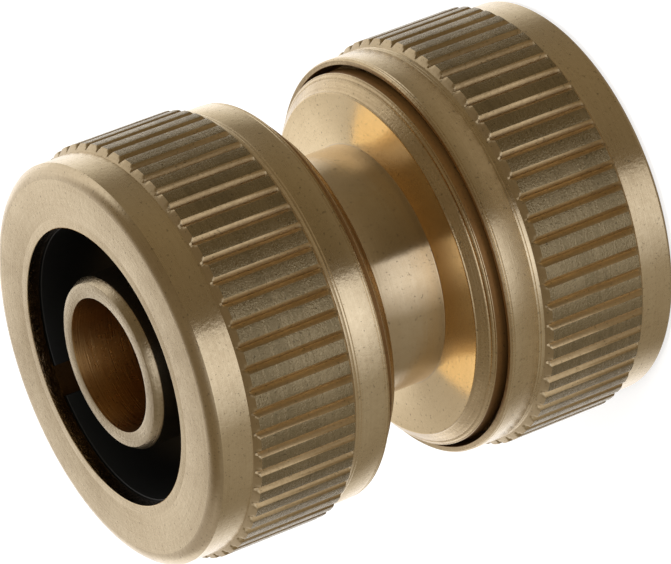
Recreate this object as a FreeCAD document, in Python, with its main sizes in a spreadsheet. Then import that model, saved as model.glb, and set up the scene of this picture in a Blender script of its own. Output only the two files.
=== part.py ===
"""Brass hose connector: a double ended hose mender.

A turned brass body has a hose tail and a male thread at each end. A knurled union nut runs on each
thread and drives a split plastic clamp ring down its cone, which closes the ring on the hose.

The frame stands the connector on end: +Z runs along the axis and the origin is the middle of the
lower nut's flat end face. Lengths along the axis are chained outwards from the middle of the neck,
and radii are chained outwards from the hose opening, so that every fit follows its neighbours.
All sizes are in millimetres, apart from angles, which are in degrees.
"""

import FreeCAD
import Part
import Sketcher
import math
import os

DRIVING_SIZES = [
    ("bore_diameter", 10.0, "water way through the body"),
    ("tail_wall", 1.45, "wall of the hose tail"),
    ("neck_wall", 4.1, "wall of the neck between the nuts"),
    ("neck_length", 6.9, "neck between the two shoulder faces"),
    ("shoulder_chamfer_length", 1.0, "rough turned chamfer on each shoulder, along the axis"),
    ("shoulder_chamfer_height", 1.2, "the same chamfer, across the axis"),
    ("shoulder_land", 1.15, "plain cylinder behind the chamfer"),
    ("thread_length", 6.4, "male thread on each end of the body"),
    ("thread_ridge", 0.5, "height of the shoulder over the thread's middle radius"),
    ("thread_clearance", 0.05, "running clearance between the two threads"),
    ("tail_length", 7.05, "hose tail beyond the threaded boss"),
    ("tail_lead_in_length", 0.6, "tapered lead-in at the tail's tip, along the axis"),
    ("tail_lead_in_depth", 0.35, "the same lead-in, across the axis"),
    ("opening_diameter", 20.7, "mouth of the nut, which the hose passes"),
    ("lip_thickness", 1.0, "lip that holds the clamp ring in the nut"),
    ("lip_overlap", 1.35, "how far the ring's narrow end reaches behind the lip"),
    ("ring_length", 6.3, "clamp ring along the axis"),
    ("ring_cone_rise", 1.9, "growth of the ring's radius along its cone"),
    ("ring_inset", 0.1, "how far the ring's bore stands inside the mouth"),
    ("ring_gap", 0.1, "play of the ring at each end"),
    ("ring_clearance", 0.1, "play between the ring and the nut's cone"),
    ("ring_slot", 2.3, "width of the ring's split"),
    ("rim_cover", 0.5, "how far the nut's rim reaches over the shoulder"),
    ("skirt_depth", 1.5, "plain counterbore at the nut's rim"),
    ("skirt_clearance", 0.35, "gap between the counterbore and the shoulder"),
    ("skirt_wall", 0.5, "wall of the nut round the counterbore"),
    ("front_band", 3.0, "plain band from the nut's face to the knurl"),
    ("corner_width", 1.05, "broken front corner, across the axis"),
    ("corner_depth", 0.57, "broken front corner, along the axis"),
    ("grip_length", 8.5, "knurl, foot to foot"),
    ("grip_height", 0.5, "height of the knurl over the plain bands"),
    ("grip_chamfer", 0.4, "slope at each end of the knurl, along the axis"),
    ("grip_teeth", 60, "teeth of the knurl"),
    ("groove_depth", 0.39, "depth of the ninety degree grooves"),
    ("groove_floor", 0.02, "height of the turned collar under the teeth over the grooves' root"),
    ("top_nut_angle", 4.7, "how far the upper nut is screwed round"),
    ("bottom_nut_angle", 3.0, "how far the lower nut is screwed round"),
    ("top_ring_angle", 98.5, "where the upper ring's split lies"),
    ("bottom_ring_angle", 250.0, "where the lower ring's split lies"),
]

FULL_TURN = 360.0


class Size:
    """A value together with the sheet expression that gives it."""

    def __init__(self, value, text):
        self.value = value
        self.text = text

    def _join(self, other, sign, value):
        words = other.text if isinstance(other, Size) else repr(float(other))
        return Size(value, "(" + self.text + " " + sign + " " + words + ")")

    def __add__(self, other):
        return self._join(other, "+", self.value + plain(other))

    def __sub__(self, other):
        return self._join(other, "-", self.value - plain(other))

    def __mul__(self, other):
        return self._join(other, "*", self.value * plain(other))

    def __truediv__(self, other):
        return self._join(other, "/", self.value / plain(other))

    def __neg__(self):
        return Size(-self.value, "(-1.0 * " + self.text + ")")

    def cosine(self):
        """Cosine of a size in degrees."""
        return Size(math.cos(math.radians(self.value)), "cos(" + self.text + " * 1deg)")

    def sine(self):
        """Sine of a size in degrees."""
        return Size(math.sin(math.radians(self.value)), "sin(" + self.text + " * 1deg)")


def plain(size):
    """The number behind a Size or a plain number."""
    return size.value if isinstance(size, Size) else float(size)


def make_sheet(doc):
    """Write the driving sizes to a spreadsheet and return them by name."""
    sheet = doc.addObject("Spreadsheet::Sheet", "sizes")
    named = {}
    for row, (name, value, meaning) in enumerate(DRIVING_SIZES, start=1):
        sheet.set("A" + str(row), str(value))
        sheet.setAlias("A" + str(row), name)
        sheet.set("B" + str(row), meaning)
        named[name] = Size(float(value), "sizes." + name)
    doc.recompute()
    return named


def origin_feature(body, role):
    """One of the body's own planes or axes, by its role."""
    for feature in body.Origin.OriginFeatures:
        if feature.Role == role:
            return feature
    raise ValueError("no origin feature " + role)


def turned(point, angle):
    """A point of (across, along) sizes turned about the origin."""
    across, along = point
    cosine = angle.cosine()
    sine = angle.sine()
    return (across * cosine - along * sine, across * sine + along * cosine)


def new_sketch(body, name, plane):
    """A sketch on one of the body's own origin planes."""
    sketch = body.newObject("Sketcher::SketchObject", name)
    sketch.AttachmentSupport = (origin_feature(body, plane), [""])
    sketch.MapMode = "FlatFace"
    return sketch


def bind(sketch, constraint, name, size):
    """Add a named constraint and tie it to the sheet."""
    index = sketch.addConstraint(constraint)
    sketch.renameConstraint(index, name)
    sketch.setExpression("Constraints." + name, size.text)


def draw_outline(sketch, corners, tag):
    """Draw one closed outline of (across, along) corners that are all tied to the sheet."""
    count = len(corners)
    first = sketch.GeometryCount
    for i, (across, along) in enumerate(corners):
        next_across, next_along = corners[(i + 1) % count]
        start = FreeCAD.Vector(plain(across), plain(along), 0)
        end = FreeCAD.Vector(plain(next_across), plain(next_along), 0)
        sketch.addGeometry(Part.LineSegment(start, end))
    for i in range(count):
        here = first + i
        after = first + (i + 1) % count
        sketch.addConstraint(Sketcher.Constraint("Coincident", here, 2, after, 1))
    for i, (across, along) in enumerate(corners):
        here = first + i
        label = tag + str(i)
        bind(sketch, Sketcher.Constraint("DistanceX", -1, 1, here, 1, plain(across)), label + "_across", across)
        bind(sketch, Sketcher.Constraint("DistanceY", -1, 1, here, 1, plain(along)), label + "_along", along)


def revolve(body, sketch, name, kind="PartDesign::Revolution"):
    """Turn a sketch a full turn about the body's own Z axis."""
    feature = body.newObject(kind, name)
    feature.Profile = sketch
    feature.ReferenceAxis = (sketch, ["V_Axis"])
    feature.Angle = FULL_TURN
    return feature


def cut_through(body, sketch, name):
    """Pocket a sketch on the XY plane upwards through the whole body."""
    pocket = body.newObject("PartDesign::Pocket", name)
    pocket.Profile = sketch
    pocket.Type = "ThroughAll"
    pocket.Reversed = True
    return pocket


def check_cut(doc, before, feature):
    """Stop if a cut took nothing away."""
    doc.recompute()
    if not feature.Shape.Volume < before - 1e-6:
        raise RuntimeError(feature.Name + " cut nothing")


def make_body(doc, size, fit):
    """The turned brass body, modelled about the middle of its neck."""
    body = doc.addObject("PartDesign::Body", "body")
    body.Label = "body"
    upper = [
        (fit["neck_radius"], fit["shoulder_face"]),
        (fit["face_radius"], fit["shoulder_face"]),
        (fit["shoulder_radius"], fit["shoulder_edge"]),
        (fit["shoulder_radius"], fit["shoulder_end"]),
        (fit["thread_radius"], fit["shoulder_end"]),
        (fit["thread_radius"], fit["boss_face"]),
        (fit["tail_radius"], fit["boss_face"]),
        (fit["tail_radius"], fit["tail_end"] - size["tail_lead_in_length"]),
        (fit["tail_radius"] - size["tail_lead_in_depth"], fit["tail_end"]),
        (fit["bore_radius"], fit["tail_end"]),
    ]
    lower = [(across, -along) for across, along in reversed(upper)]
    blank = new_sketch(body, "turned_outline", "XZ_Plane")
    draw_outline(blank, upper + lower, "turned")
    outline = revolve(body, blank, "turned_body")
    body.Tip = outline
    body.setExpression("Placement.Base.z", fit["middle"].text)
    return body


def make_nut(doc, label, size, fit):
    """A union nut with its flat end face at z = 0 and its rim up."""
    body = doc.addObject("PartDesign::Body", label)
    body.Label = label
    corners = [
        (fit["opening_radius"], fit["zero"]),
        (fit["flat_radius"], fit["zero"]),
        (fit["band_radius"], size["corner_depth"]),
        (fit["band_radius"], size["front_band"]),
        (fit["collar_radius"], size["front_band"]),
        (fit["collar_radius"], fit["grip_end"]),
        (fit["band_radius"], fit["grip_end"]),
        (fit["band_radius"], fit["nut_length"]),
        (fit["skirt_radius"], fit["nut_length"]),
        (fit["skirt_radius"], fit["skirt_bottom"]),
        (fit["nut_bore_radius"], fit["skirt_bottom"]),
        (fit["nut_bore_radius"], fit["seat_end"]),
        (fit["seat_front_radius"], size["lip_thickness"]),
        (fit["opening_radius"], size["lip_thickness"]),
    ]
    outline = new_sketch(body, "nut_outline", "XZ_Plane")
    draw_outline(outline, corners, "nut")
    blank = revolve(body, outline, "nut_blank")
    doc.recompute()
    bare = blank.Shape.Volume

    side = [
        (fit["skirt_radius"], size["front_band"]),
        (fit["collar_radius"], size["front_band"]),
        (fit["crest_radius"], size["front_band"] + size["grip_chamfer"]),
        (fit["crest_radius"], fit["grip_end"] - size["grip_chamfer"]),
        (fit["collar_radius"], fit["grip_end"]),
        (fit["skirt_radius"], fit["grip_end"]),
    ]
    rib_side = new_sketch(body, "rib_side", "XZ_Plane")
    draw_outline(rib_side, side, "rib")
    rib = body.newObject("PartDesign::Pad", "grip_rib")
    rib.Profile = rib_side
    rib.SideType = "Symmetric"
    rib.setExpression("Length", fit["rib_width"].text)
    doc.recompute()
    if not rib.Shape.Volume > bare:
        raise RuntimeError("the rib added nothing")

    cutter = new_sketch(body, "groove_outline", "XY_Plane")
    outside = fit["crest_radius"] + size["grip_height"]
    reach = size["groove_depth"] + size["grip_height"]
    corners = [(fit["root_radius"], fit["zero"]), (outside, -reach), (outside, reach)]
    draw_outline(cutter, [turned(corner, fit["half_pitch"]) for corner in corners], "groove")
    groove = cut_through(body, cutter, "grip_groove")
    check_cut(doc, rib.Shape.Volume, groove)

    knurl = body.newObject("PartDesign::PolarPattern", "knurl")
    knurl.Originals = [rib, groove]
    knurl.Axis = (origin_feature(body, "Z_Axis"), [""])
    knurl.Angle = FULL_TURN
    knurl.setExpression("Occurrences", size["grip_teeth"].text)
    body.Tip = knurl
    doc.recompute()
    added = (groove.Shape.Volume - bare) * plain(size["grip_teeth"])
    if not bare < knurl.Shape.Volume < bare + added:
        raise RuntimeError(label + " has no whole knurl")
    return body


def make_ring(doc, label, size, fit):
    """A split clamp ring with its narrow end at z = 0."""
    body = doc.addObject("PartDesign::Body", label)
    body.Label = label
    corners = [
        (fit["ring_bore_radius"], fit["zero"]),
        (fit["ring_front_radius"], fit["zero"]),
        (fit["ring_rear_radius"], size["ring_length"]),
        (fit["ring_bore_radius"], size["ring_length"]),
    ]
    outline = new_sketch(body, "ring_outline", "XZ_Plane")
    draw_outline(outline, corners, "ring")
    blank = revolve(body, outline, "ring_blank")
    doc.recompute()
    before = blank.Shape.Volume

    split = new_sketch(body, "split_outline", "XY_Plane")
    half = size["ring_slot"] / 2
    far = fit["ring_rear_radius"] + size["ring_slot"]
    draw_outline(split, [(half, -half), (far, -half), (far, half), (half, half)], "split")
    slot = cut_through(body, split, "split")
    body.Tip = slot
    check_cut(doc, before, slot)
    return body


def stand_lower(part, angle, height):
    """Turn a part about Z and lift it, its end face down."""
    part.Placement = FreeCAD.Placement(
        FreeCAD.Vector(0, 0, 0), FreeCAD.Rotation(FreeCAD.Vector(0, 0, 1), plain(angle)))
    part.setExpression("Placement.Rotation.Angle", angle.text)
    part.setExpression("Placement.Base.z", height.text)


def stand_upper(part, angle, height):
    """Turn a part over and about Z and lift it, its end face up."""
    half_angle = math.radians(plain(angle)) / 2.0
    axis = FreeCAD.Vector(math.cos(half_angle), math.sin(half_angle), 0)
    part.Placement = FreeCAD.Placement(FreeCAD.Vector(0, 0, 0), FreeCAD.Rotation(axis, FULL_TURN / 2.0))
    part.setExpression("Placement.Base.z", height.text)


def work_out_fits(size):
    """Radii and stations that follow from the driving sizes."""
    fit = {"zero": size["lip_thickness"] * 0}
    fit["bore_radius"] = size["bore_diameter"] / 2
    fit["tail_radius"] = fit["bore_radius"] + size["tail_wall"]
    fit["neck_radius"] = fit["bore_radius"] + size["neck_wall"]

    fit["opening_radius"] = size["opening_diameter"] / 2
    fit["ring_bore_radius"] = fit["opening_radius"] - size["ring_inset"]
    fit["ring_front_radius"] = fit["opening_radius"] + size["lip_overlap"]
    fit["ring_rear_radius"] = fit["ring_front_radius"] + size["ring_cone_rise"]
    fit["seat_front_radius"] = fit["ring_front_radius"] + size["ring_clearance"]
    fit["nut_bore_radius"] = fit["ring_rear_radius"] + size["ring_clearance"]
    fit["thread_radius"] = fit["nut_bore_radius"] - size["thread_clearance"]
    fit["shoulder_radius"] = fit["thread_radius"] + size["thread_ridge"]
    fit["face_radius"] = fit["shoulder_radius"] - size["shoulder_chamfer_height"]
    fit["skirt_radius"] = fit["shoulder_radius"] + size["skirt_clearance"]
    fit["band_radius"] = fit["skirt_radius"] + size["skirt_wall"]
    fit["flat_radius"] = fit["band_radius"] - size["corner_width"]
    fit["crest_radius"] = fit["band_radius"] + size["grip_height"]
    fit["half_pitch"] = Size(FULL_TURN / 2, repr(FULL_TURN / 2)) / size["grip_teeth"]
    fit["root_radius"] = fit["crest_radius"] - size["groove_depth"]
    fit["collar_radius"] = fit["root_radius"] + size["groove_floor"]
    fit["rib_width"] = (fit["root_radius"] + fit["collar_radius"]) * fit["half_pitch"].sine()

    fit["shoulder_face"] = size["neck_length"] / 2
    fit["shoulder_edge"] = fit["shoulder_face"] + size["shoulder_chamfer_length"]
    fit["shoulder_end"] = fit["shoulder_edge"] + size["shoulder_land"]
    fit["boss_face"] = fit["shoulder_end"] + size["thread_length"]
    fit["tail_end"] = fit["boss_face"] + size["tail_length"]
    fit["ring_low"] = size["lip_thickness"] + size["ring_gap"]
    fit["seat_end"] = fit["ring_low"] + size["ring_length"]
    fit["middle"] = fit["boss_face"] + size["ring_gap"] + fit["seat_end"]
    fit["nut_length"] = fit["middle"] - fit["shoulder_end"] + size["rim_cover"]
    fit["skirt_bottom"] = fit["nut_length"] - size["skirt_depth"]
    fit["grip_end"] = size["front_band"] + size["grip_length"]
    fit["overall_length"] = fit["middle"] * 2
    return fit


def check_and_export(doc, parts):
    """Stop on any failed object, then write each part's solid."""
    for item in doc.Objects:
        if "Invalid" in item.State or "Error" in item.State:
            raise RuntimeError(item.Name + " failed: " + str(item.State))
    for part in parts:
        if part.Shape.isNull() or not part.Shape.isValid() or len(part.Shape.Solids) != 1:
            raise RuntimeError(part.Label + " is not one valid solid")
    os.makedirs("parts", exist_ok=True)
    for part in parts:
        part.Shape.exportStep("parts/" + part.Label + ".step")
        box = part.Shape.BoundBox
        print(part.Label, "volume", round(part.Shape.Volume, 2), "from z", round(box.ZMin, 3),
              "to", round(box.ZMax, 3), "across", round(box.XLength, 3))


def main():
    """Build the five pieces and place them."""
    doc = FreeCAD.newDocument("hose_connector")
    size = make_sheet(doc)
    fit = work_out_fits(size)

    body = make_body(doc, size, fit)
    nut_bottom = make_nut(doc, "union_nut_bottom", size, fit)
    nut_top = make_nut(doc, "union_nut_top", size, fit)
    ring_bottom = make_ring(doc, "clamp_ring_bottom", size, fit)
    ring_top = make_ring(doc, "clamp_ring_top", size, fit)

    stand_lower(nut_bottom, size["bottom_nut_angle"], fit["zero"])
    stand_lower(ring_bottom, size["bottom_ring_angle"], fit["ring_low"])
    stand_upper(nut_top, size["top_nut_angle"], fit["overall_length"])
    stand_upper(ring_top, size["top_ring_angle"], fit["overall_length"] - fit["ring_low"])
    doc.recompute()

    check_and_export(doc, [body, nut_top, nut_bottom, ring_top, ring_bottom])
    print("overall length", round(plain(fit["overall_length"]), 3), "nut length", round(plain(fit["nut_length"]), 3))


main()
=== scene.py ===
"""Dress the brass hose connector and set it before the camera.

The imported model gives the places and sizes. Each turned piece is modelled again here as a smooth
turning, with its knurl, its threads and its broken edges, and rides on the body of the node that it
stands for. Heights are taken along the connector's axis, from the face that it stands on.
"""

import logging
import math
from collections.abc import Callable, Sequence
from dataclasses import dataclass
from enum import Enum

import bmesh
import bpy
from mathutils import Matrix, Vector

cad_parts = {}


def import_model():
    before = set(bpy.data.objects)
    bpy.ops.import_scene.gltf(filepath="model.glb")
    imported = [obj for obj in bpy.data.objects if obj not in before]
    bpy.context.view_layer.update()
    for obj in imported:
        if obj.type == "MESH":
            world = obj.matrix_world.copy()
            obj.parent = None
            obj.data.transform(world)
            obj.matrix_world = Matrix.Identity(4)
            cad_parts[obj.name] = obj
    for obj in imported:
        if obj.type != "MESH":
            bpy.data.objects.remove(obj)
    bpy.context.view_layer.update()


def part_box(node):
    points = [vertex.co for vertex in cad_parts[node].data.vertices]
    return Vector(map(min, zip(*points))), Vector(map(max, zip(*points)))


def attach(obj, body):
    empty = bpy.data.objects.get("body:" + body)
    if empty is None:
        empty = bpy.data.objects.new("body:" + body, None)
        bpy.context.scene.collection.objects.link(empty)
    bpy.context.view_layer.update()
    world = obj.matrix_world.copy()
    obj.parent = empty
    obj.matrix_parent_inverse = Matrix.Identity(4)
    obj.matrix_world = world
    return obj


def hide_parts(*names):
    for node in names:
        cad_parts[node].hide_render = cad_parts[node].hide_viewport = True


LOG = logging.getLogger("hose_connector")
MM = 0.001
WELD = 0.0002 * MM
SAME_PLACE = 1e-6
NEARLY_STRAIGHT = 162.0
MOST_OF_AN_EDGE = 0.4
PHOTO_WIDTH = 671

Colour = tuple[float, float, float]
Point = tuple[float, float]
Outline = list[Point]
Test = Callable[[Vector], bool]


class End(Enum):
    """The two ends of the connector."""

    BOTTOM = "bottom"
    TOP = "top"

    @property
    def sign(self) -> int:
        """+1 where the end's own outward direction is up."""
        return 1 if self is End.TOP else -1


# Where the knurl and the ring's split stand round the axis at rest, in degrees
CREST_DEGREES = {End.BOTTOM: 3.0, End.TOP: 1.3}
SPLIT_DEGREES = {End.BOTTOM: 250.0, End.TOP: 98.5}


# Mesh work in edit mode


def clear_selection() -> None:
    """Leave edit mode and deselect every object."""
    if bpy.context.object and bpy.context.object.mode != "OBJECT":
        bpy.ops.object.mode_set(mode="OBJECT")
    bpy.ops.object.select_all(action="DESELECT")


def make_active(piece: bpy.types.Object) -> None:
    """Select one object alone and make it the active one.

    Args:
        piece: The object to work on.
    """
    clear_selection()
    piece.select_set(True)
    bpy.context.view_layer.objects.active = piece


def pick(piece: bpy.types.Object, test: Test) -> None:
    """Select the vertices in edit mode that pass a test.

    Args:
        piece: An object in edit mode.
        test: Says whether a vertex at this place, in metres, is taken.
    """
    mesh = bmesh.from_edit_mesh(piece.data)
    for vertex in mesh.verts:
        vertex.select = test(vertex.co)
    mesh.select_flush_mode()
    bmesh.update_edit_mesh(piece.data)


def pick_faces(piece: bpy.types.Object, test: Test) -> None:
    """Select the faces in edit mode whose middle passes a test.

    Args:
        piece: An object in edit mode.
        test: Says whether a face with this middle, in metres, is taken.
    """
    mesh = bmesh.from_edit_mesh(piece.data)
    for face in mesh.faces:
        face.select = test(face.calc_center_median())
    bmesh.update_edit_mesh(piece.data)


def polar_angle(place: Vector) -> float:
    """Angle of a place about the Z axis, in degrees."""
    return math.degrees(math.atan2(place.y, place.x))


def reach(place: Vector) -> float:
    """Distance of a place from the Z axis, in millimetres."""
    return math.hypot(place.x, place.y) / MM


def softened(outline: Outline, radius: float) -> Outline:
    """Break the corners of a closed outline.

    Args:
        outline: Corners as (radius, height), in millimetres.
        radius: How far back from a corner its rounding starts.

    Returns:
        The outline with three points in place of each real corner.
    """
    rounded: Outline = []
    count = len(outline)
    for i, point in enumerate(outline):
        corner = Vector(point)
        before = Vector(outline[i - 1]) - corner
        after = Vector(outline[(i + 1) % count]) - corner
        if before.length < SAME_PLACE or after.length < SAME_PLACE:
            continue
        if before.angle(after) > math.radians(NEARLY_STRAIGHT):
            rounded.append(point)
            continue
        back = min(radius, MOST_OF_AN_EDGE * before.length, MOST_OF_AN_EDGE * after.length)
        first = corner + before.normalized() * back
        last = corner + after.normalized() * back
        middle = first * 0.25 + corner * 0.5 + last * 0.25
        rounded += [tuple(first), tuple(middle), tuple(last)]
    return rounded


def turned_line(radius: float, start: float, depth: float, width: float = 0.1) -> Outline:
    """A fine line that the tool left round an upright wall.

    Args:
        radius: The wall's radius.
        start: Height at which the line starts.
        depth: How far it goes in.
        width: Its height, along the axis.

    Returns:
        The line's three points as (radius, height), in millimetres.
    """
    return [(radius, start), (radius - depth, start + width / 2), (radius, start + width)]


def turn_outline(name: str, outline: Outline, steps: int) -> bpy.types.Object:
    """Turn a closed outline about the Z axis, ring by ring.

    Args:
        name: Name of the new object.
        outline: Closed outline as (radius, height), in millimetres.
        steps: Vertices of each ring.

    Returns:
        A closed mesh object, with its faces outwards.
    """
    clear_selection()
    across, along = outline[0]
    bpy.ops.mesh.primitive_circle_add(vertices=steps, radius=across * MM, fill_type="NOTHING")
    piece = bpy.context.object
    piece.name = name
    piece.data.name = name
    bpy.ops.object.mode_set(mode="EDIT")
    bpy.ops.mesh.select_all(action="SELECT")
    bpy.ops.transform.translate(value=(0, 0, along * MM))
    for next_across, next_along in outline[1:] + outline[:1]:
        bpy.ops.mesh.extrude_edges_move(
            TRANSFORM_OT_translate={"value": (0, 0, (next_along - along) * MM)}
        )
        growth = next_across / across
        bpy.ops.transform.resize(value=(growth, growth, 1), center_override=(0, 0, 0))
        across, along = next_across, next_along
    bpy.ops.mesh.select_all(action="SELECT")
    bpy.ops.mesh.remove_doubles(threshold=WELD)
    bpy.ops.mesh.normals_make_consistent(inside=False)
    bpy.ops.object.mode_set(mode="OBJECT")
    return piece


def apply_modifiers(piece: bpy.types.Object) -> None:
    """Apply every modifier of a piece.

    Args:
        piece: The object whose modifiers are made part of its mesh.
    """
    make_active(piece)
    for modifier in list(piece.modifiers):
        bpy.ops.object.modifier_apply(modifier=modifier.name)


def smooth(piece: bpy.types.Object, degrees: float = 32) -> None:
    """Shade a piece smoothly over its shallow edges.

    Args:
        piece: The object to shade.
        degrees: Edges sharper than this stay sharp.
    """
    make_active(piece)
    bpy.ops.object.shade_smooth_by_angle(angle=math.radians(degrees))


def join(pieces: Sequence[bpy.types.Object], name: str) -> bpy.types.Object:
    """Join several objects into one.

    Args:
        pieces: The objects, of which the first keeps its materials' order.
        name: Name of the joined object.

    Returns:
        The joined object.
    """
    make_active(pieces[0])
    for piece in pieces[1:]:
        piece.select_set(True)
    bpy.ops.object.join()
    whole = bpy.context.object
    whole.name = name
    whole.data.name = name
    return whole


def settle(piece: bpy.types.Object) -> None:
    """Put a piece's place into its mesh.

    Args:
        piece: The object that is left at the origin.
    """
    make_active(piece)
    bpy.ops.object.transform_apply(location=True, rotation=True, scale=True)


def dress(piece: bpy.types.Object, finish: bpy.types.Material, test: Test | None = None) -> None:
    """Give a finish to a piece, or to the faces that pass a test.

    Args:
        piece: The object to dress.
        finish: The material.
        test: Says whether a face with this middle takes the finish. None takes all.
    """
    make_active(piece)
    piece.data.materials.append(finish)
    piece.active_material_index = len(piece.data.materials) - 1
    bpy.ops.object.mode_set(mode="EDIT")
    if test is None:
        bpy.ops.mesh.select_all(action="SELECT")
    else:
        pick_faces(piece, test)
    bpy.ops.object.material_slot_assign()
    bpy.ops.object.mode_set(mode="OBJECT")


# Finishes


class Graph:
    """A short way to write a node tree."""

    def __init__(self, tree: bpy.types.NodeTree) -> None:
        """Start with an empty tree.

        Args:
            tree: The tree of a material or world.
        """
        self.tree = tree
        tree.nodes.clear()

    def add(self, kind: str, values: dict | None = None, **settings: object) -> bpy.types.Node:
        """Add a node.

        Args:
            kind: Node type without its ShaderNode prefix.
            values: Input name or index to a value, or to an output that is linked.
            settings: Node properties.

        Returns:
            The node.
        """
        node = self.tree.nodes.new("ShaderNode" + kind)
        for key, value in settings.items():
            setattr(node, key, value)
        for key, value in (values or {}).items():
            if isinstance(value, bpy.types.NodeSocket):
                self.tree.links.new(value, node.inputs[key])
            else:
                node.inputs[key].default_value = value
        return node

    def math(self, operation: str, *values: object) -> bpy.types.NodeSocket:
        """A Math node's output for these inputs."""
        return self.add("Math", dict(enumerate(values)), operation=operation).outputs[0]

    def noise(self, values: dict, **settings: object) -> bpy.types.NodeSocket:
        """A Noise node's value output for these inputs."""
        return self.add("TexNoise", values, **settings).outputs[0]

    def span(self, value: bpy.types.NodeSocket, start: float, end: float, low: float = 0.0,
             high: float = 1.0, ease: str = "LINEAR") -> bpy.types.NodeSocket:
        """Map a value's run from start to end to low to high, and hold it beyond.

        Args:
            value: The output to map.
            start: The value that gives low.
            end: The value that gives high.
            low: The result at the start.
            high: The result at the end.
            ease: The node's interpolation.

        Returns:
            The mapped output.
        """
        limits = {0: value, 1: start, 2: end, 3: low, 4: high}
        return self.add("MapRange", limits, interpolation_type=ease).outputs[0]

    def ramp(self, factor: bpy.types.NodeSocket, stops: Sequence[tuple[float, tuple]],
             ease: str = "LINEAR") -> bpy.types.NodeSocket:
        """Colours along a factor.

        Args:
            factor: The output that chooses the colour.
            stops: Places from 0 to 1 with their colours.
            ease: The ramp's interpolation.

        Returns:
            The colour output.
        """
        node = self.add("ValToRGB", {0: factor})
        node.color_ramp.interpolation = ease
        for i, (place, colour) in enumerate(stops):
            if i < 2:
                stop = node.color_ramp.elements[i]
                stop.position = place
            else:
                stop = node.color_ramp.elements.new(place)
            stop.color = (*colour, 1)
        return node.outputs[0]

    def mix(self, factor: object, first: object, second: object) -> bpy.types.NodeSocket:
        """A blend of two colours, each a colour or an output."""
        node = self.tree.nodes.new("ShaderNodeMix")
        node.data_type = "RGBA"
        for index, value in ((0, factor), (6, first), (7, second)):
            if isinstance(value, bpy.types.NodeSocket):
                self.tree.links.new(value, node.inputs[index])
            elif isinstance(value, tuple):
                node.inputs[index].default_value = (*value, 1)
            else:
                node.inputs[index].default_value = value
        return node.outputs[2]


# What each pattern adds to the wear of the brass, how soon a turned line changes on its way round,
# how bright a pit is beside dull brass, a pit's size in millimetres and the clouds to a metre
GRAIN_SHARE, CLOUD_SHARE, LINE_SHARE = 0.35, 0.4, 0.25
LINE_CHANGE = 1.1
PIT_TONE = 0.35
PIT_SIZE = 0.2
CLOUD_SCALE = 240.0


@dataclass(frozen=True)
class TurnedMetal:
    """Brass as the lathe left it, with fine lines round the axis.

    Lengths are in millimetres. rough_low and rough_high are the ends of the roughness, stretch says
    how much wider a highlight spreads across the lines than along them, metallic how clean the
    metal is, and pits how far the small pits darken it.
    """

    name: str
    bright: Colour
    dull: Colour
    rough_low: float
    rough_high: float
    line_pitch: float
    line_depth: float
    grain_size: float
    grain_depth: float
    stretch: float
    metallic: float = 1.0
    pits: float = 0.6

    def make(self) -> bpy.types.Material:
        """Build the material.

        Returns:
            The new material.
        """
        finish = bpy.data.materials.new(self.name)
        finish.use_nodes = True
        graph = Graph(finish.node_tree)
        place = graph.add("TexCoord").outputs["Object"]
        split = graph.add("SeparateXYZ", {0: place}).outputs
        flat = graph.add("CombineXYZ", {0: split[0], 1: split[1]}).outputs[0]
        radius = graph.add("VectorMath", {0: flat}, operation="LENGTH").outputs["Value"]
        round_about = graph.add("VectorMath", {0: flat}, operation="NORMALIZE").outputs[0]
        around = graph.add("SeparateXYZ", {0: round_about}).outputs
        per_line = 1 / (self.line_pitch * MM)
        lines_at = graph.add("CombineXYZ", {
            0: graph.math("MULTIPLY", around[0], LINE_CHANGE),
            1: graph.math("MULTIPLY", around[1], LINE_CHANGE),
            2: graph.math("MULTIPLY", split[2], per_line),
        }).outputs[0]
        lines = graph.noise({
            "Vector": lines_at, "W": graph.math("MULTIPLY", radius, per_line), "Scale": 1.0,
            "Detail": 2.0, "Roughness": 0.6,
        }, noise_dimensions="4D")
        grain = graph.noise({"Vector": place, "Scale": 1 / (self.grain_size * MM), "Detail": 3.0,
                             "Roughness": 0.65})
        cloud = graph.noise({"Vector": place, "Scale": CLOUD_SCALE, "Detail": 3.0,
                             "Roughness": 0.55})
        holes = graph.noise({"Vector": place, "Scale": 1 / (PIT_SIZE * MM), "Detail": 1.0})
        height = graph.add("Bump", {"Height": lines, "Distance": self.line_depth * MM})
        height = graph.add("Bump", {"Height": grain, "Distance": self.grain_depth * MM,
                                    "Normal": height.outputs[0]})
        worn = graph.math("MULTIPLY", graph.span(cloud, 0.35, 0.7), CLOUD_SHARE)
        worn = graph.math("MULTIPLY_ADD", graph.span(grain, 0.3, 0.75), GRAIN_SHARE, worn)
        worn = graph.math("MULTIPLY_ADD", graph.span(lines, 0.35, 0.65), LINE_SHARE, worn)
        shader = graph.add("BsdfPrincipled", {
            "Base Color": graph.mix(graph.span(holes, 0.66, 0.75, 0.0, self.pits),
                                    graph.mix(worn, self.bright, self.dull),
                                    tuple(PIT_TONE * part for part in self.dull)),
            "Metallic": self.metallic,
            "Roughness": graph.span(worn, 0.0, 1.0, self.rough_low, self.rough_high),
            "Normal": height.outputs[0],
            "Anisotropic": self.stretch,
            "Anisotropic Rotation": 0.25,
            "Tangent": graph.add("Tangent", direction_type="RADIAL", axis="Z").outputs[0],
        })
        graph.add("OutputMaterial", {0: shader.outputs[0]})
        return finish


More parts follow.
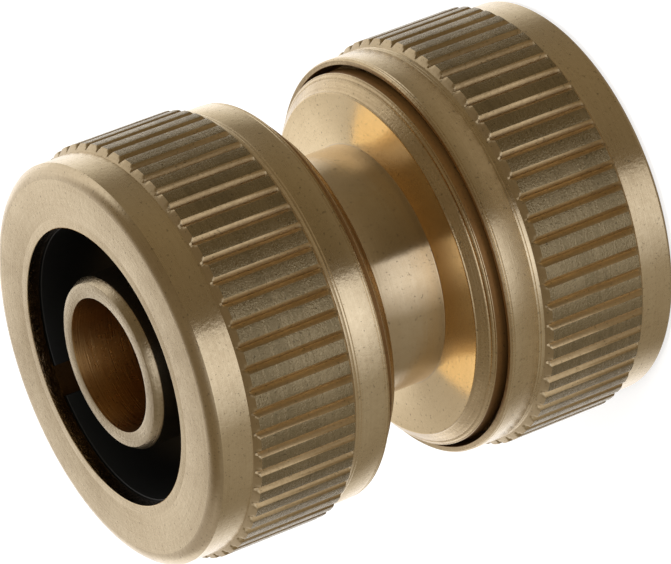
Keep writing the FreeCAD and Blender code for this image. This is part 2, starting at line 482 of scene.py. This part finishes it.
@dataclass(frozen=True)
class MouldedPlastic:
    """Smooth black moulding, a little smoother and rougher by places."""

    name: str
    colour: Colour
    roughness: float
    smoother: float = 0.06
    rougher: float = 0.1

    def make(self) -> bpy.types.Material:
        """Build the material.

        Returns:
            The new material.
        """
        finish = bpy.data.materials.new(self.name)
        finish.use_nodes = True
        graph = Graph(finish.node_tree)
        place = graph.add("TexCoord").outputs["Object"]
        orange_peel = graph.noise({"Vector": place, "Scale": 900.0, "Detail": 2.0})
        smudge = graph.noise({"Vector": place, "Scale": 260.0, "Detail": 3.0})
        height = graph.add("Bump", {"Height": orange_peel, "Distance": 0.01 * MM})
        shader = graph.add("BsdfPrincipled", {
            "Base Color": (*self.colour, 1),
            "Roughness": graph.span(smudge, 0.0, 1.0, self.roughness - self.smoother,
                                    self.roughness + self.rougher),
            "Normal": height.outputs[0],
        })
        graph.add("OutputMaterial", {0: shader.outputs[0]})
        return finish


FACE_BRASS = TurnedMetal("nut_turned", (0.85, 0.70, 0.465), (0.66, 0.515, 0.32), 0.20, 0.32,
                         0.10, 0.004, 0.35, 0.01, 0.8)
# The corner's brass is a darker copy of the face brass: painted shade on the rounded corner
CORNER_SHADE_BRASS = TurnedMetal("corner_painted_shade", (0.74, 0.60, 0.395), (0.56, 0.435, 0.27), 0.18, 0.30,
                           0.10, 0.004, 0.35, 0.008, 0.8)
CREST_BRASS = TurnedMetal("nut_knurl", (0.44, 0.35, 0.21), (0.23, 0.18, 0.10), 0.18, 0.38,
                          0.20, 0.004, 0.13, 0.055, 0.0)
# The grooves' brass tone is lifted above the crests' as painted light against the shade in the
# grooves
GROOVE_LIT_BRASS = TurnedMetal("groove_tone_and_painted_light", (0.64, 0.475, 0.265), (0.46, 0.335, 0.175), 0.34, 0.50,
                           0.20, 0.004, 0.16, 0.012, 0.0)
FOOT_BRASS = TurnedMetal("knurl_foot", (0.66, 0.52, 0.32), (0.50, 0.38, 0.22), 0.30, 0.46,
                         0.20, 0.004, 0.16, 0.01, 0.0)
# The lip bore's near-black dull tone is painted shade, standing for the dark inside that it faces
LIP_SHADE_BRASS = TurnedMetal("lip_painted_shade", (0.56, 0.40, 0.24), (0.12, 0.075, 0.035), 0.08, 0.22,
                        0.10, 0.02, 0.28, 0.07, 0.0)
BODY_BRASS = TurnedMetal("body_turned", (0.72, 0.58, 0.385), (0.62, 0.48, 0.30), 0.15, 0.24,
                         0.22, 0.006, 0.5, 0.003, 0.8)
DISC_BRASS = TurnedMetal("disc_turned", (0.89, 0.70, 0.42), (0.77, 0.585, 0.33), 0.13, 0.19,
                         0.22, 0.002, 0.4, 0.002, 0.5)
SHOULDER_BRASS = TurnedMetal("shoulder_rough", (0.74, 0.57, 0.34), (0.48, 0.35, 0.19), 0.20, 0.40,
                             0.14, 0.016, 0.22, 0.02, 0.4)
# The gap's dark red-brown is painted shade in the narrow gap between nut skirt and shoulder
GAP_SHADE_BRASS = TurnedMetal("gap_painted_shade", (0.25, 0.125, 0.035), (0.16, 0.075, 0.02), 0.32, 0.48,
                        0.14, 0.006, 0.3, 0.01, 0.0, metallic=0.6)
TAIL_BRASS = TurnedMetal("tail_turned", (0.68, 0.56, 0.38), (0.40, 0.31, 0.185), 0.22, 0.38,
                         0.12, 0.012, 0.25, 0.02, 0.4)
# The bore's darker, deeper brown is painted shade inside the hole
BORE_SHADE_BRASS = TurnedMetal("bore_painted_shade", (0.54, 0.35, 0.15), (0.33, 0.19, 0.07), 0.24, 0.38,
                         0.10, 0.02, 0.3, 0.006, 0.0)
THREAD_BRASS = TurnedMetal("thread_cut", (0.76, 0.60, 0.36), (0.62, 0.47, 0.27), 0.22, 0.36,
                           0.12, 0.004, 0.4, 0.004, 0.5)
# The seat's near-black brown is painted shade inside the nut
SEAT_SHADE_BRASS = TurnedMetal("seat_painted_shade", (0.24, 0.16, 0.09), (0.17, 0.11, 0.06), 0.40, 0.55,
                         0.12, 0.006, 0.4, 0.004, 0.5)
RING_PLASTIC = MouldedPlastic("ring_moulded", (0.004, 0.0042, 0.004), 0.40)
NUT_FINISHES = (FACE_BRASS, CORNER_SHADE_BRASS, CREST_BRASS, GROOVE_LIT_BRASS, FOOT_BRASS, LIP_SHADE_BRASS,
                SEAT_SHADE_BRASS, GAP_SHADE_BRASS, SHOULDER_BRASS, THREAD_BRASS)
BODY_FINISHES = (BODY_BRASS, DISC_BRASS, SHOULDER_BRASS, GAP_SHADE_BRASS, TAIL_BRASS, BORE_SHADE_BRASS,
                 THREAD_BRASS)


# The connector's own sizes, read from the frame


@dataclass(frozen=True)
class Sizes:
    """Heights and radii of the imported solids, in millimetres."""

    length: float
    nut_length: float
    crest: float
    shoulder: float
    body_end: float
    ring_low: float
    ring_high: float
    ring_wide: float

    @classmethod
    def read(cls) -> "Sizes":
        """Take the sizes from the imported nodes' boxes.

        Returns:
            The sizes.
        """
        nut_low, nut_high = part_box("union_nut_bottom")
        body_low, body_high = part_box("body")
        ring_low, ring_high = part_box("clamp_ring_bottom")
        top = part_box("union_nut_top")[1]
        return cls(
            length=top.z / MM,
            nut_length=nut_high.z / MM,
            crest=(nut_high.x - nut_low.x) / 2 / MM,
            shoulder=(body_high.x - body_low.x) / 2 / MM,
            body_end=body_low.z / MM,
            ring_low=ring_low.z / MM,
            ring_high=ring_high.z / MM,
            ring_wide=(ring_high.x - ring_low.x) / 2 / MM,
        )


@dataclass
class ThreadRidge:
    """A helical ridge with tapered ends, as a closed shell.

    root and tip are the radii that the ridge runs between, in millimetres. foot is half the ridge's
    width at the root as a share of the pitch, flat the tip's width as a share of the root's, fade
    the part of a turn over which an end runs out, and sink how far it then goes into the wall.
    """

    name: str
    root: float
    tip: float
    pitch: float
    low: float
    turns: float
    start_degrees: float
    steps_a_turn: int = 72
    foot: float = 0.46
    flat: float = 0.14
    fade: float = 0.2
    sink: float = 0.08

    def build(self) -> bpy.types.Object:
        """Sweep the ridge's section along the helix.

        Returns:
            The ridge.
        """
        clear_selection()
        bpy.ops.mesh.primitive_plane_add(size=2, rotation=(math.radians(90), 0, 0))
        ridge = bpy.context.object
        ridge.name = self.name
        ridge.data.name = self.name
        settle(ridge)
        bpy.ops.object.mode_set(mode="EDIT")
        bpy.ops.mesh.select_all(action="SELECT")
        half = abs(self.tip - self.root) / 2
        bpy.ops.transform.resize(value=(half * MM, 1, self.pitch * self.foot * MM),
                                 center_override=(0, 0, 0))
        outside = 1 if self.tip > self.root else -1
        pick(ridge, lambda place: place.x * outside > 0)
        bpy.ops.transform.resize(value=(1, 1, self.flat), center_override=(0, 0, 0))
        bpy.ops.mesh.select_all(action="SELECT")
        bpy.ops.transform.translate(value=((self.root + self.tip) / 2 * MM, 0, self.low * MM))
        bpy.ops.mesh.delete(type="ONLY_FACE")
        bpy.ops.object.mode_set(mode="OBJECT")
        screw = ridge.modifiers.new("helix", "SCREW")
        screw.axis = "Z"
        screw.angle = math.tau * self.turns
        screw.screw_offset = self.pitch * self.turns * MM
        screw.steps = screw.render_steps = int(self.steps_a_turn * self.turns)
        screw.use_merge_vertices = False
        apply_modifiers(ridge)
        self.taper(ridge)
        make_active(ridge)
        bpy.ops.object.mode_set(mode="EDIT")
        bpy.ops.mesh.select_all(action="SELECT")
        bpy.ops.transform.rotate(value=-math.radians(self.start_degrees), orient_axis="Z",
                                 center_override=(0, 0, 0))
        bpy.ops.mesh.normals_make_consistent(inside=False)
        bpy.ops.object.mode_set(mode="OBJECT")
        return ridge

    def taper(self, ridge: bpy.types.Object) -> None:
        """Run the ridge's ends out into the wall that carries it and close them.

        Args:
            ridge: The swept ridge.
        """
        make_active(ridge)
        bpy.ops.object.mode_set(mode="EDIT")
        mesh = bmesh.from_edit_mesh(ridge.data)
        sections = int(self.steps_a_turn * self.turns) + 1
        faded = int(self.steps_a_turn * self.fade)
        for vertex in mesh.verts:
            section = self.section_of(vertex.co, sections)
            rise = min(section, sections - 1 - section) / faded
            if rise < 1 and abs(reach(vertex.co) - self.root) > abs(reach(vertex.co) - self.tip):
                share = rise * (1 + self.sink) - self.sink
                wanted = self.root + (self.tip - self.root) * share
                vertex.co.xy *= wanted / reach(vertex.co)
        bmesh.update_edit_mesh(ridge.data)
        bpy.ops.mesh.select_all(action="DESELECT")
        bpy.ops.mesh.select_mode(type="EDGE")
        bpy.ops.mesh.select_non_manifold()
        bpy.ops.mesh.edge_face_add()
        bpy.ops.mesh.select_mode(type="VERT")
        bpy.ops.object.mode_set(mode="OBJECT")

    def section_of(self, place: Vector, sections: int) -> float:
        """Which section of the sweep a vertex belongs to.

        Args:
            place: The vertex, in metres, before the ridge is turned to its start.
            sections: How many sections the sweep has.

        Returns:
            The section's number, counted from the low end.
        """
        turn = (polar_angle(place) % 360) / 360
        rise = (place.z / MM - self.low) / self.pitch
        whole = round(rise - turn)
        return max(0.0, min(sections - 1.0, (turn + whole) * self.steps_a_turn))


@dataclass
class HoseBody:
    """The turned body: neck, two shoulders, two threads and two hose tails.

    Lengths are in millimetres. chamfer_lines are places along the shoulder's chamfer, as shares of
    it, with how far a turned line stands out of it there.
    """

    sizes: Sizes
    bore: float = 5.0
    tail: float = 6.45
    lead_in_length: float = 0.6
    lead_in_depth: float = 0.35
    neck: float = 9.1
    neck_half: float = 3.45
    chamfer_length: float = 1.0
    chamfer_height: float = 1.2
    land: float = 1.15
    thread_root: float = 13.2
    thread_tip: float = 14.1
    thread_sink: float = 0.05
    thread_pitch: float = 1.5
    thread_runout: float = 0.9
    thread_lead: float = 0.1
    boss_half: float = 12.0
    edge_break: float = 0.07
    steps: int = 256
    chamfer_lines: tuple[Point, ...] = (
        (0.05, 0.02), (0.11, -0.012), (0.66, 0.0), (0.72, -0.035),
        (0.79, 0.015), (0.90, 0.0), (0.93, -0.02), (0.96, 0.0),
    )

    @property
    def edge(self) -> float:
        """Distance of a shoulder's full width from the neck's middle."""
        return self.neck_half + self.chamfer_length

    @property
    def back(self) -> float:
        """Distance of a shoulder's rear wall from the neck's middle."""
        return self.edge + self.land

    @property
    def face(self) -> float:
        """Radius at which a shoulder's flat face ends and its chamfer starts."""
        return self.sizes.shoulder - self.chamfer_height

    @property
    def tail_end(self) -> float:
        """Distance of a tail's tip from the neck's middle."""
        return self.sizes.length / 2 - self.sizes.body_end

    def half_outline(self) -> Outline:
        """Outline of the upper half from the neck to the bore.

        Returns:
            Points as (radius, height above the neck's middle).
        """
        shoulder = self.sizes.shoulder
        outline = [(self.neck, self.neck_half), (self.face, self.neck_half)]
        outline += [(self.face + self.chamfer_height * share + lift,
                     self.neck_half + self.chamfer_length * share - lift)
                    for share, lift in self.chamfer_lines]
        outline += [
            (shoulder, self.edge), (shoulder, self.back), (self.thread_root, self.back),
            (self.thread_root, self.boss_half), (self.tail, self.boss_half),
            (self.tail, self.tail_end - self.lead_in_length),
            (self.tail - self.lead_in_depth, self.tail_end), (self.bore, self.tail_end),
        ]
        return outline

    def build(self, finishes: Sequence[bpy.types.Material]) -> bpy.types.Object:
        """Make the body and dress it.

        Args:
            finishes: Turned, disc, shoulder, gap, tail, bore and thread finishes. The gap and
            bore finishes are painted shade.

        Returns:
            The body, riding on its node's body.
        """
        turned, disc, rough, gap, end_turned, bored, cut = finishes
        half = self.half_outline()
        whole = half + [(across, -along) for across, along in reversed(half)]
        middle = self.sizes.length / 2
        outline = [(across, along + middle) for across, along in whole]
        body = turn_outline("turned_body", softened(outline, self.edge_break), self.steps)
        dress(body, turned)

        def aside(place: Vector) -> float:
            """Distance of a place from the neck's middle, along the axis."""
            return abs(place.z / MM - middle)

        # The small offsets keep each test clear of the faces next to its own
        dress(body, disc, lambda p: aside(p) < self.neck_half + 0.04 and reach(p) > self.neck + 0.1)
        dress(body, rough, lambda p: self.neck_half + 0.01 < aside(p) < self.edge
              and reach(p) > self.face)
        # The land and back wall take the dark brass that paints the gap's shade
        dress(body, gap, lambda p: self.edge + 0.03 < aside(p) < self.back + 0.05
              and reach(p) > self.face)
        dress(body, end_turned, lambda p: aside(p) > self.tail_end - self.lead_in_length - 0.03
              and reach(p) > self.bore + 0.02)
        # The bore takes the darker brass that paints its shade
        dress(body, bored, lambda p: reach(p) < self.bore + 0.02)
        near, far = self.back + self.thread_runout, self.boss_half - self.thread_lead
        ridges = [body]
        for end in End:
            low = middle + near if end is End.TOP else middle - far
            ridge = ThreadRidge("thread_" + end.value, self.thread_root - self.thread_sink,
                                self.thread_tip, self.thread_pitch, low,
                                (far - near) / self.thread_pitch, 0.0).build()
            dress(ridge, cut)
            ridges.append(ridge)
        body = join(ridges, "hose_body_turned")
        smooth(body)
        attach(body, "hose_body")
        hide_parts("body")
        return body


@dataclass
class UnionNut:
    """A knurled union nut, modelled with its flat end face at height 0 and its rim up.

    Lengths are in millimetres. rim_lines are the rim's turned lines from the band upwards, as
    (depth, distance below the rim), and face_line is the radius and depth of the end face's line.
    """

    sizes: Sizes
    end: End
    crest_degrees: float
    opening: float = 10.35
    lip: float = 1.0
    seat_front: float = 11.8
    seat_rear: float = 13.7
    seat_end: float = 7.4
    bore: float = 13.35
    bore_root: float = 14.2
    skirt: float = 14.5
    skirt_depth: float = 1.5
    band: float = 15.0
    corner_width: float = 1.05
    corner_depth: float = 0.57
    knurl_foot: float = 3.0
    knurl_end: float = 11.5
    knurl_chamfer: float = 0.4
    groove_depth: float = 0.39
    crest_fall: float = 0.022
    teeth: int = 60
    points_a_tooth: int = 10
    corner_steps: int = 7
    edge_break: float = 0.05
    skirt_break: Point = (0.08, 0.12)
    skirt_cone: float = 0.3
    line_starts: Point = (0.22, 0.44)
    line_depth: float = 0.03
    face_line: Point = (11.0, 0.004)
    rim_lines: tuple[Point, ...] = (
        (0.0, 0.42), (0.05, 0.36), (0.01, 0.30), (0.01, 0.24), (0.06, 0.18), (0.02, 0.12),
        (0.12, 0.0),
    )
    thread_sink: float = 0.05
    thread_pitch: float = 1.5
    thread_start: float = 0.9
    thread_turns: float = 2.6

    def corner(self) -> Outline:
        """The rounded front corner, from the flat face to the plain band.

        Returns:
            Points of the arc as (radius, height).
        """
        radius = (self.corner_width**2 + self.corner_depth**2) / (2 * self.corner_depth)
        sweep = math.asin(self.corner_width / radius)
        start = self.band - self.corner_width
        angles = [sweep * i / self.corner_steps for i in range(self.corner_steps + 1)]
        return [(start + radius * math.sin(angle), radius - radius * math.cos(angle))
                for angle in angles]

    def knurl_rings(self) -> Outline:
        """Rings of the knurl, from foot to foot, before the grooves are cut.

        Returns:
            Points as (radius, height). The chamfers have rings at the groove's two depths.
        """
        root = self.sizes.crest - self.groove_depth
        half_way = self.sizes.crest - self.groove_depth / 2
        rise = self.sizes.crest - self.band
        levels = [root, half_way, self.sizes.crest]
        front = [(level, self.knurl_foot + self.knurl_chamfer * (level - self.band) / rise)
                 for level in levels]
        back = [(level, self.knurl_end - self.knurl_chamfer * (level - self.band) / rise)
                for level in reversed(levels)]
        return [(self.band, self.knurl_foot), *front, *back, (self.band, self.knurl_end)]

    def outline(self) -> Outline:
        """The nut's closed outline, from its mouth over the face and the outside to the bore.

        Returns:
            Points as (radius, height).
        """
        rim = self.sizes.nut_length
        skirt_end = rim - self.skirt_depth
        widened, deep = self.skirt_break
        inner = [
            (self.skirt + widened, rim), (self.skirt, rim - deep), (self.skirt, skirt_end),
            (self.bore_root, skirt_end - self.skirt_cone),
            (self.bore_root, self.seat_end), (self.seat_rear, self.seat_end),
            (self.seat_front, self.lip), (self.opening, self.lip), (self.opening, 0.0),
        ]
        start, sunk = self.face_line
        # A line on the flat face is a wall's line with radius and height changed over
        face = [(across, along) for along, across in turned_line(0.0, start, -sunk)]
        outer = [*face, *self.corner(), *self.knurl_rings()]
        for start in self.line_starts:
            outer += turned_line(self.band, self.knurl_end + start, self.line_depth)
        outer += [(self.band - depth, rim - below) for depth, below in self.rim_lines]
        mouth = [(self.opening, self.edge_break), (self.opening + self.edge_break, 0.0)]
        return softened(inner, self.edge_break)[1:-1] + mouth + outer

    def cut_grooves(self, nut: bpy.types.Object) -> None:
        """Press the knurl's grooves into the plain rings.

        Args:
            nut: The turned blank, with a vertex ring of points_a_tooth to a tooth.
        """
        make_active(nut)
        bpy.ops.object.mode_set(mode="EDIT")
        pitch = 360 / self.teeth
        step = pitch / self.points_a_tooth
        crest = self.sizes.crest
        # Radius by how many points round from the middle of the rib
        depths = {3: crest - self.crest_fall, 4: crest - self.groove_depth / 2,
                  5: crest - self.groove_depth}
        for place, radius in depths.items():
            def in_groove(co: Vector, place: int = place, radius: float = radius) -> bool:
                """Whether a vertex of the knurl stands above this radius at this point."""
                turned = polar_angle(co) % pitch
                off = min(turned, pitch - turned)
                inside = self.knurl_foot < co.z / MM < self.knurl_end
                return inside and reach(co) > radius + 1e-4 and abs(off - place * step) < step / 3
            self.level(nut, in_groove, radius)
        bpy.ops.object.mode_set(mode="OBJECT")

    def level(self, nut: bpy.types.Object, test: Test, radius: float) -> None:
        """Bring the chosen vertices to one radius.

        Args:
            nut: The nut, in edit mode.
            test: Chooses the vertices.
            radius: Their new radius, in millimetres.
        """
        mesh = bmesh.from_edit_mesh(nut.data)
        levels = sorted({round(reach(v.co), 3) for v in mesh.verts if test(v.co)})
        for level in levels:
            pick(nut, lambda co, level=level: test(co) and abs(reach(co) - level) < 6e-4)
            shrink = radius / level
            bpy.ops.transform.resize(value=(shrink, shrink, 1), center_override=(0, 0, 0))

    def build(self, finishes: Sequence[bpy.types.Material]) -> bpy.types.Object:
        """Make the nut and dress it.

        Args:
            finishes: Turned, corner, crest, groove, foot, lip, seat, gap, shoulder and thread
            finishes. The corner, lip, seat and gap finishes are painted shade, and the groove
            finish is its own tone lifted by painted light.

        Returns:
            The nut, riding on its node's body.
        """
        turned, corner, crest, groove, foot, lip, seat, gap, rough, cut = finishes
        nut = turn_outline("nut_blank_" + self.end.value, self.outline(),
                           self.teeth * self.points_a_tooth)
        self.cut_grooves(nut)
        dress(nut, turned)
        # The small offsets keep each test clear of the faces next to its own
        # The rounded corner takes the darker brass that paints its shade
        dress(nut, corner, lambda p: p.z / MM < self.corner_depth + 0.01
              and reach(p) > self.band - self.corner_width + 0.05)
        low = self.knurl_foot + self.knurl_chamfer
        high = self.knurl_end - self.knurl_chamfer

        def on_knurl(place: Vector) -> bool:
            """Whether a place is on the knurl between its two chamfers."""
            return low < place.z / MM < high and reach(place) > self.band + 0.02

        dress(nut, foot, lambda p: self.knurl_foot < p.z / MM < self.knurl_end
              and reach(p) > self.band + 0.02)
        dress(nut, crest, lambda p: on_knurl(p) and reach(p) > self.sizes.crest - 0.05)
        # The grooves take the lifted brass, painted light against their shade
        dress(nut, groove, lambda p: on_knurl(p) and reach(p) <= self.sizes.crest - 0.05)
        # The lip's bore takes the near-black brass that paints its shade
        dress(nut, lip, lambda p: 0.06 < p.z / MM < self.lip - 0.02
              and reach(p) < self.opening + 0.1)
        # The seat and thread bore take the near-black brass that paints the shade inside the nut
        dress(nut, seat, lambda p: self.lip < p.z / MM < self.sizes.nut_length - self.skirt_depth
              and reach(p) < self.skirt)
        rim = self.sizes.nut_length
        # The skirt's gap takes the dark brass that paints its shade
        dress(nut, gap, lambda p: p.z / MM > rim - self.skirt_depth - 0.35
              and self.bore_root < reach(p) < self.skirt + 0.02)
        dress(nut, rough, lambda p: p.z / MM > rim - 0.2 and reach(p) > self.skirt + 0.02)
        thread = ThreadRidge("nut_thread_" + self.end.value, self.bore_root + self.thread_sink,
                             self.bore, self.thread_pitch, self.seat_end + self.thread_start,
                             self.thread_turns, 180.0).build()
        dress(thread, cut)
        nut = join([nut, thread], "union_nut_" + self.end.value + "_knurled")
        smooth(nut)
        self.place(nut)
        node = "union_nut_" + self.end.value
        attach(nut, self.end.value + "_nut")
        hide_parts(node)
        return nut

    def place(self, nut: bpy.types.Object) -> None:
        """Turn the nut to its angle and, at the top, over.

        Args:
            nut: The finished nut.
        """
        nut.rotation_euler = (0, 0, math.radians(self.crest_degrees))
        settle(nut)
        if self.end is End.TOP:
            nut.rotation_euler = (math.pi, 0, 0)
            nut.location = (0, 0, self.sizes.length * MM)
            settle(nut)


@dataclass
class ClampRing:
    """The split plastic ring with its cone, modelled with its narrow end down at height 0.

    Lengths are in millimetres. past_wall and past_ends say how much longer than the ring's wall and
    height the block is that cuts the split.
    """

    sizes: Sizes
    end: End
    split_degrees: float
    split_width: float = 2.3
    past_wall: float = 3.0
    past_ends: float = 2.0
    bore: float = 10.25
    narrow: float = 11.7
    edge: float = 0.03
    steps: int = 240

    def build(self, finish: bpy.types.Material) -> bpy.types.Object:
        """Make the ring and dress it.

        Args:
            finish: The plastic.

        Returns:
            The ring, riding on its node's body.
        """
        length = self.sizes.ring_high - self.sizes.ring_low
        wide = self.sizes.ring_wide
        outline = [
            (self.bore, self.edge), (self.bore + self.edge, 0.0), (self.narrow, 0.0),
            (wide, length), (self.bore + self.edge, length), (self.bore, length - self.edge),
        ]
        ring = turn_outline("ring_blank_" + self.end.value, softened(outline, self.edge),
                            self.steps)
        clear_selection()
        bpy.ops.mesh.primitive_cube_add(size=1, location=((self.bore + wide) / 2 * MM, 0,
                                                          length / 2 * MM))
        cutter = bpy.context.object
        cutter.scale = ((wide - self.bore + self.past_wall) * MM, self.split_width * MM,
                        (length + self.past_ends) * MM)
        settle(cutter)
        split = ring.modifiers.new("split", "BOOLEAN")
        split.operation = "DIFFERENCE"
        split.solver = "EXACT"
        split.object = cutter
        apply_modifiers(ring)
        bpy.data.objects.remove(cutter)
        dress(ring, finish)
        smooth(ring)
        ring.name = "clamp_ring_" + self.end.value + "_moulded"
        self.place(ring)
        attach(ring, self.end.value + "_ring")
        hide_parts("clamp_ring_" + self.end.value)
        return ring

    def place(self, ring: bpy.types.Object) -> None:
        """Turn the ring to its split's angle and put it in its nut.

        Args:
            ring: The finished ring.
        """
        ring.rotation_euler = (0, 0, math.radians(self.split_degrees * -self.end.sign))
        settle(ring)
        if self.end is End.TOP:
            ring.rotation_euler = (math.pi, 0, 0)
            ring.location = (0, 0, (self.sizes.length - self.sizes.ring_low) * MM)
        else:
            ring.location = (0, 0, self.sizes.ring_low * MM)
        settle(ring)


# The studio


@dataclass(frozen=True)
class PhotoCamera:
    """The photograph's camera.

    axis is the connector's axis from its upper face to its far end, and face the middle of the
    upper face in millimetres, both seen from the camera: to the right, down and away.
    """

    axis: tuple[float, float, float] = (0.8366, -0.3185, 0.4458)
    face: tuple[float, float, float] = (-16.390, 6.022, 428.24)
    focal_pixels: float = 6078.41
    sensor: float = 36.0

    def build(self, length: float) -> None:
        """Place the scene's camera round the standing connector.

        Args:
            length: The connector's length in millimetres.
        """
        up_axis = -Vector(self.axis).normalized()
        picture_up = Vector((0, -1, 0))
        x_axis = (picture_up - up_axis * picture_up.dot(up_axis)).normalized()
        y_axis = up_axis.cross(x_axis)
        axes = (x_axis, y_axis, up_axis)
        face = Vector(self.face)
        place = Vector([-face.dot(row) for row in axes]) + Vector((0, 0, length))
        lens = bpy.data.cameras.new("photo_camera")
        lens.sensor_width = self.sensor
        lens.lens = self.focal_pixels * self.sensor / PHOTO_WIDTH
        lens.clip_start, lens.clip_end = 0.01, 20
        camera = bpy.data.objects.new("photo_camera", lens)
        bpy.context.scene.collection.objects.link(camera)
        turn = Matrix([(row.x, -row.y, -row.z) for row in axes])
        camera.matrix_world = Matrix.Translation(place * MM) @ turn.to_4x4()
        bpy.context.scene.camera = camera


@dataclass(frozen=True)
class Studio:
    """Pale floor, white surroundings and a tent whose panels the brass mirrors.

    The tent's stops are angles about the connector's axis, from the picture's upward side round
    by the camera. sky is the light of its far side, level and higher up, pole the light from
    straight above and under the light from below. glow is how brightly the camera sees the floor,
    near the connector and far off, and glow_reach where each begins, in metres.
    """

    floor_size: float = 6.0
    floor_tone: float = 0.42
    glow: Point = (0.74, 1.0)
    glow_reach: Point = (0.08, 0.3)
    camera_side: float = 81.6
    camera_edge: float = 1.5
    sky: tuple[Colour, Colour] = ((0.97, 0.96, 0.97), (0.49, 0.46, 0.43))
    pole: Colour = (0.20, 0.16, 0.105)
    under: Colour = (0.30, 0.25, 0.18)
    lamp_aim: float = 0.02

    def tent(self) -> list[tuple[float, Colour]]:
        """The tent's panels round the connector's axis.

        Returns:
            Angles in degrees with the light that comes from there.
        """
        return [
            (-70.0, (1.30, 1.30, 1.32)),
            (-44.0, (0.70, 0.68, 0.64)),
            (-26.0, (0.22, 0.19, 0.145)),
            (20.0, (0.195, 0.155, 0.095)),
            (self.camera_side - self.camera_edge, (0.12, 0.09, 0.05)),
            (self.camera_side + self.camera_edge, (0.94, 0.94, 0.98)),
            (106.0, (1.14, 1.16, 1.24)),
            (138.0, (0.36, 0.33, 0.28)),
            (196.0, (0.27, 0.235, 0.18)),
            (236.0, (1.30, 1.30, 1.34)),
        ]

    def build_world(self) -> None:
        """Set the surroundings: white to the camera, the tent to all else."""
        world = bpy.data.worlds.new("tent")
        bpy.context.scene.world = world
        world.use_nodes = True
        graph = Graph(world.node_tree)
        way = graph.add("TexCoord").outputs["Generated"]
        split = graph.add("SeparateXYZ", {0: way}).outputs
        around = graph.math("ARCTAN2", graph.math("MULTIPLY", split[1], -1.0), split[0])
        panels = self.tent()
        first = panels[0][0]
        turned = graph.math("DIVIDE", graph.math("SUBTRACT", around, math.radians(first)), math.tau)
        share = graph.math("FRACT", turned)
        stops = [((angle - first) / 360, colour) for angle, colour in panels]
        stops.append((1.0, panels[0][1]))
        ring_light = graph.ramp(share, stops)
        # Each part of the tent starts and ends at a slope: 0 is level and 1 straight up
        raised = graph.span(split[2], 0.05, 0.3, ease="SMOOTHSTEP")
        behind = graph.span(split[1], 0.0, 0.4, ease="SMOOTHSTEP")
        slant = graph.math("MULTIPLY_ADD", split[0], -0.4, split[2])
        sky = graph.mix(graph.span(slant, 0.41, 0.55), *self.sky)
        light = graph.mix(graph.math("MULTIPLY", raised, behind), ring_light, sky)
        pole = graph.span(split[2], 0.55, 0.8, ease="SMOOTHSTEP")
        light = graph.mix(pole, light, self.pole)
        under = graph.span(split[2], -0.45, -0.7, ease="SMOOTHSTEP")
        light = graph.mix(under, light, self.under)
        bright = graph.add("Background", {0: light, 1: 1.0}).outputs[0]
        plain = graph.add("Background", {0: (1, 1, 1, 1), 1: 1.0}).outputs[0]
        seen = graph.add("LightPath").outputs["Is Camera Ray"]
        both = graph.add("MixShader", {0: seen, 1: bright, 2: plain}).outputs[0]
        graph.add("OutputWorld", {0: both})

    def build_floor(self) -> None:
        """Lay the pale floor that keeps the connector's shadow."""
        clear_selection()
        bpy.ops.mesh.primitive_plane_add(size=self.floor_size)
        floor = bpy.context.object
        floor.name = "floor"
        finish = bpy.data.materials.new("pale_floor")
        finish.use_nodes = True
        graph = Graph(finish.node_tree)
        path = graph.add("LightPath").outputs
        tone = self.floor_tone
        paint = graph.add("BsdfDiffuse", {0: (tone, tone, tone, 1)}).outputs[0]
        away = graph.add("VectorMath", {0: graph.add("TexCoord").outputs["Object"]},
                         operation="LENGTH").outputs["Value"]
        glow = graph.span(away, *self.glow_reach, *self.glow)
        lift = graph.add("Emission", {0: (1, 1, 1, 1), 1: graph.math(
            "MULTIPLY", path["Is Camera Ray"], glow)}).outputs[0]
        lit = graph.add("AddShader", {0: paint, 1: lift}).outputs[0]
        clear = graph.add("BsdfTransparent").outputs[0]
        graph.add("OutputMaterial", {0: graph.add("MixShader", {
            0: path["Is Glossy Ray"], 1: lit, 2: clear}).outputs[0]})
        floor.data.materials.append(finish)

    def build_lamp(self, name: str, place: tuple[float, float, float], size: float,
                   watts: float) -> None:
        """Hang one soft lamp that looks at the connector.

        Args:
            name: The lamp's name.
            place: Where it hangs, in metres.
            size: Side of its square face, in metres.
            watts: Its power.
        """
        light = bpy.data.lights.new(name, "AREA")
        light.size = size
        light.energy = watts
        lamp = bpy.data.objects.new(name, light)
        bpy.context.scene.collection.objects.link(lamp)
        lamp.location = place
        away = Vector(place) - Vector((0, 0, self.lamp_aim))
        lamp.rotation_euler = away.to_track_quat("Z", "Y").to_euler()
        lamp.visible_glossy = False

    def build(self) -> None:
        """Set up the colours' plain view, the world, the floor and the lamps."""
        bpy.context.scene.view_settings.view_transform = "Standard"
        self.build_world()
        self.build_floor()
        self.build_lamp("lamp_over", (0.1, -0.15, 0.7), 0.5, 5.0)
        self.build_lamp("lamp_front", (0.45, -0.5, 0.35), 0.4, 2.0)


def main() -> None:
    """Build the connector and its studio in order, and report each piece."""
    logging.basicConfig(level=logging.INFO, format="%(name)s: %(message)s")
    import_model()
    sizes = Sizes.read()
    kinds = dict.fromkeys((*NUT_FINISHES, *BODY_FINISHES, RING_PLASTIC))
    finishes = {kind: kind.make() for kind in kinds}
    nut_finishes = [finishes[kind] for kind in NUT_FINISHES]
    made = [HoseBody(sizes).build([finishes[kind] for kind in BODY_FINISHES])]
    for end in End:
        made.append(UnionNut(sizes, end, CREST_DEGREES[end]).build(nut_finishes))
        made.append(ClampRing(sizes, end, SPLIT_DEGREES[end]).build(finishes[RING_PLASTIC]))
    for piece in made:
        LOG.info("%s has %d faces", piece.name, len(piece.data.polygons))
    PhotoCamera().build(sizes.length)
    Studio().build()


if __name__ == "__main__":
    main()
